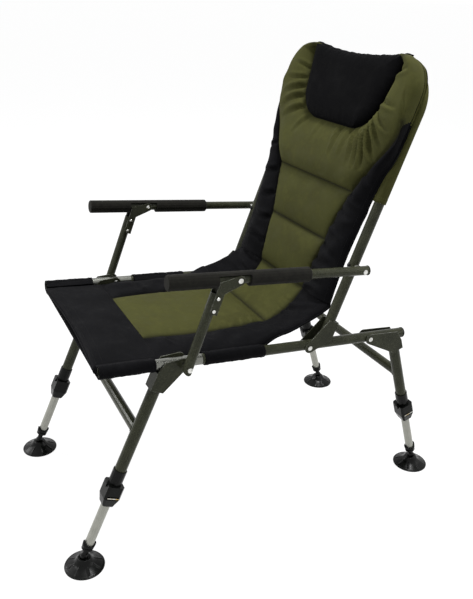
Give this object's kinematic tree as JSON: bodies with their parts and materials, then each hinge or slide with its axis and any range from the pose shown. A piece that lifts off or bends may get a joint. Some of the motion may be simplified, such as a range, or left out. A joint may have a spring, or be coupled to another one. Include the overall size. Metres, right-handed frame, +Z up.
{
  "type": "folding fishing chair",
  "caption": "Folding padded outdoor chair with a high reclined back, head pillow, parallelogram arms, folding leg frames and telescopic legs on swivel feet.",
  "frame": {"origin": "on the floor, under the middle of the chair's outline", "axes": "+Z up, -Y the way the sitter faces, +X to the sitter's left"},
  "size_m": [0.609, 1.0514, 1.1212],
  "materials": {
    "paint": "satin hammered",
    "bright": "satin",
    "rivet": "polished",
    "plastic": "gloss",
    "foam": "matte foam",
    "green": "matte woven",
    "black": "matte woven"
  },
  "bodies": {
    "seat_frame": {"rail_left": "paint", "rail_cap_left": "plastic", "front_pin_left": "rivet", "back_pin_left": "rivet", "rear_pin_left": "rivet", "rail_right": "paint", "rail_cap_right": "plastic", "front_pin_right": "rivet", "back_pin_right": "rivet", "rear_pin_right": "rivet", "seat_sling": "black", "seat_cushion": "green", "fold_pad": "green"},
    "back": {"back_frame": "paint", "back_bracket_left": "paint", "back_bracket_right": "paint", "back_cushion": "green", "back_hood": "green", "head_pillow": "black", "arm_pin_left": "rivet", "arm_pin_right": "rivet"},
    "arm_left": {"arm_tube_left": "paint", "arm_plug_left": "plastic", "arm_grip_left": "foam"},
    "strut_left": {"strut_tube_left": "paint", "strut_bracket_left": "paint", "strut_top_pin_left": "rivet"},
    "arm_right": {"arm_tube_right": "paint", "arm_plug_right": "plastic", "arm_grip_right": "foam"},
    "strut_right": {"strut_tube_right": "paint", "strut_bracket_right": "paint", "strut_top_pin_right": "rivet"},
    "front_legs": {"front_leg_frame": "paint", "front_gusset_left": "paint", "front_collar_left": "plastic", "front_gusset_right": "paint", "front_collar_right": "plastic"},
    "front_inner_left": {"front_inner_leg_left": "bright", "front_ankle_left": "plastic"},
    "front_lock_left": {"front_lock_plate_left": "rivet"},
    "front_foot_left": {"front_foot_left": "plastic"},
    "front_inner_right": {"front_inner_leg_right": "bright", "front_ankle_right": "plastic"},
    "front_lock_right": {"front_lock_plate_right": "rivet"},
    "front_foot_right": {"front_foot_right": "plastic"},
    "rear_legs": {"rear_leg_frame": "paint", "rear_gusset_left": "paint", "rear_collar_left": "plastic", "rear_gusset_right": "paint", "rear_collar_right": "plastic"},
    "rear_inner_left": {"rear_inner_leg_left": "bright", "rear_ankle_left": "plastic"},
    "rear_lock_left": {"rear_lock_plate_left": "rivet"},
    "rear_foot_left": {"rear_foot_left": "plastic"},
    "rear_inner_right": {"rear_inner_leg_right": "bright", "rear_ankle_right": "plastic"},
    "rear_lock_right": {"rear_lock_plate_right": "rivet"},
    "rear_foot_right": {"rear_foot_right": "plastic"}
  },
  "joints": [
    {"name": "back_fold", "type": "hinge", "parent": "seat_frame", "child": "back", "pos_m": [0, 0.0899, 0.46335], "axis": [1, 0, 0], "range_deg": [0, 97], "deforming": ["fold_pad"]},
    {"name": "arm_left_level", "type": "hinge", "parent": "back", "child": "arm_left", "pos_m": [0.2875, 0.20282, 0.65447], "axis": [1, 0, 0], "range_deg": [-97, 0]},
    {"name": "strut_left_fold", "type": "hinge", "parent": "seat_frame", "child": "strut_left", "pos_m": [0.2875, -0.23371, 0.49269], "axis": [1, 0, 0], "range_deg": [0, 97]},
    {"name": "arm_right_level", "type": "hinge", "parent": "back", "child": "arm_right", "pos_m": [-0.2875, 0.20282, 0.65447], "axis": [1, 0, 0], "range_deg": [-97, 0]},
    {"name": "strut_right_fold", "type": "hinge", "parent": "seat_frame", "child": "strut_right", "pos_m": [-0.2875, -0.23371, 0.49269], "axis": [1, 0, 0], "range_deg": [0, 97]},
    {"name": "front_legs_fold", "type": "hinge", "parent": "seat_frame", "child": "front_legs", "pos_m": [0, -0.23371, 0.49269], "axis": [1, 0, 0], "range_deg": [0, 100]},
    {"name": "front_leg_left_slide", "type": "slide", "parent": "front_legs", "child": "front_inner_left", "axis": [0, 0.4075, 0.9132], "range_m": [-0.04, 0.105]},
    {"name": "front_lock_left_tilt", "type": "hinge", "parent": "front_legs", "child": "front_lock_left", "pos_m": [0.2355, -0.40865, 0.18707], "axis": [0, 0.9132, -0.4075], "range_deg": [-4, 4], "stiffness_Nm_per_rad": 0.5},
    {"name": "front_foot_left_tilt", "type": "hinge", "parent": "front_inner_left", "child": "front_foot_left", "pos_m": [0.25, -0.47874, 0.03], "axis": [1, 0, 0], "range_deg": [-15, 15]},
    {"name": "front_leg_right_slide", "type": "slide", "parent": "front_legs", "child": "front_inner_right", "axis": [0, 0.4075, 0.9132], "range_m": [-0.04, 0.105]},
    {"name": "front_lock_right_tilt", "type": "hinge", "parent": "front_legs", "child": "front_lock_right", "pos_m": [-0.2355, -0.40865, 0.18707], "axis": [0, 0.9132, -0.4075], "range_deg": [-4, 4], "stiffness_Nm_per_rad": 0.5},
    {"name": "front_foot_right_tilt", "type": "hinge", "parent": "front_inner_right", "child": "front_foot_right", "pos_m": [-0.25, -0.47874, 0.03], "axis": [1, 0, 0], "range_deg": [-15, 15]},
    {"name": "rear_legs_fold", "type": "hinge", "parent": "seat_frame", "child": "rear_legs", "pos_m": [0, 0.26765, 0.45199], "axis": [1, 0, 0], "range_deg": [-106, 0]},
    {"name": "rear_leg_left_slide", "type": "slide", "parent": "rear_legs", "child": "rear_inner_left", "axis": [0, -0.304, 0.9527], "range_m": [-0.04, 0.08]},
    {"name": "rear_lock_left_tilt", "type": "hinge", "parent": "rear_legs", "child": "rear_lock_left", "pos_m": [0.2355, 0.42645, 0.19386], "axis": [0, 0.9527, 0.304], "range_deg": [-4, 4], "stiffness_Nm_per_rad": 0.5},
    {"name": "rear_foot_left_tilt", "type": "hinge", "parent": "rear_inner_left", "child": "rear_foot_left", "pos_m": [0.25, 0.47874, 0.03], "axis": [1, 0, 0], "range_deg": [-15, 15]},
    {"name": "rear_leg_right_slide", "type": "slide", "parent": "rear_legs", "child": "rear_inner_right", "axis": [0, -0.304, 0.9527], "range_m": [-0.04, 0.08]},
    {"name": "rear_lock_right_tilt", "type": "hinge", "parent": "rear_legs", "child": "rear_lock_right", "pos_m": [-0.2355, 0.42645, 0.19386], "axis": [0, 0.9527, 0.304], "range_deg": [-4, 4], "stiffness_Nm_per_rad": 0.5},
    {"name": "rear_foot_right_tilt", "type": "hinge", "parent": "rear_inner_right", "child": "rear_foot_right", "pos_m": [-0.25, 0.47874, 0.03], "axis": [1, 0, 0], "range_deg": [-15, 15]}
  ],
  "couplings": [
    {"joint": "arm_left_level", "follows": "back_fold", "ratio": -1},
    {"joint": "strut_left_fold", "follows": "back_fold", "ratio": 1},
    {"joint": "arm_right_level", "follows": "back_fold", "ratio": -1},
    {"joint": "strut_right_fold", "follows": "back_fold", "ratio": 1}
  ]
}
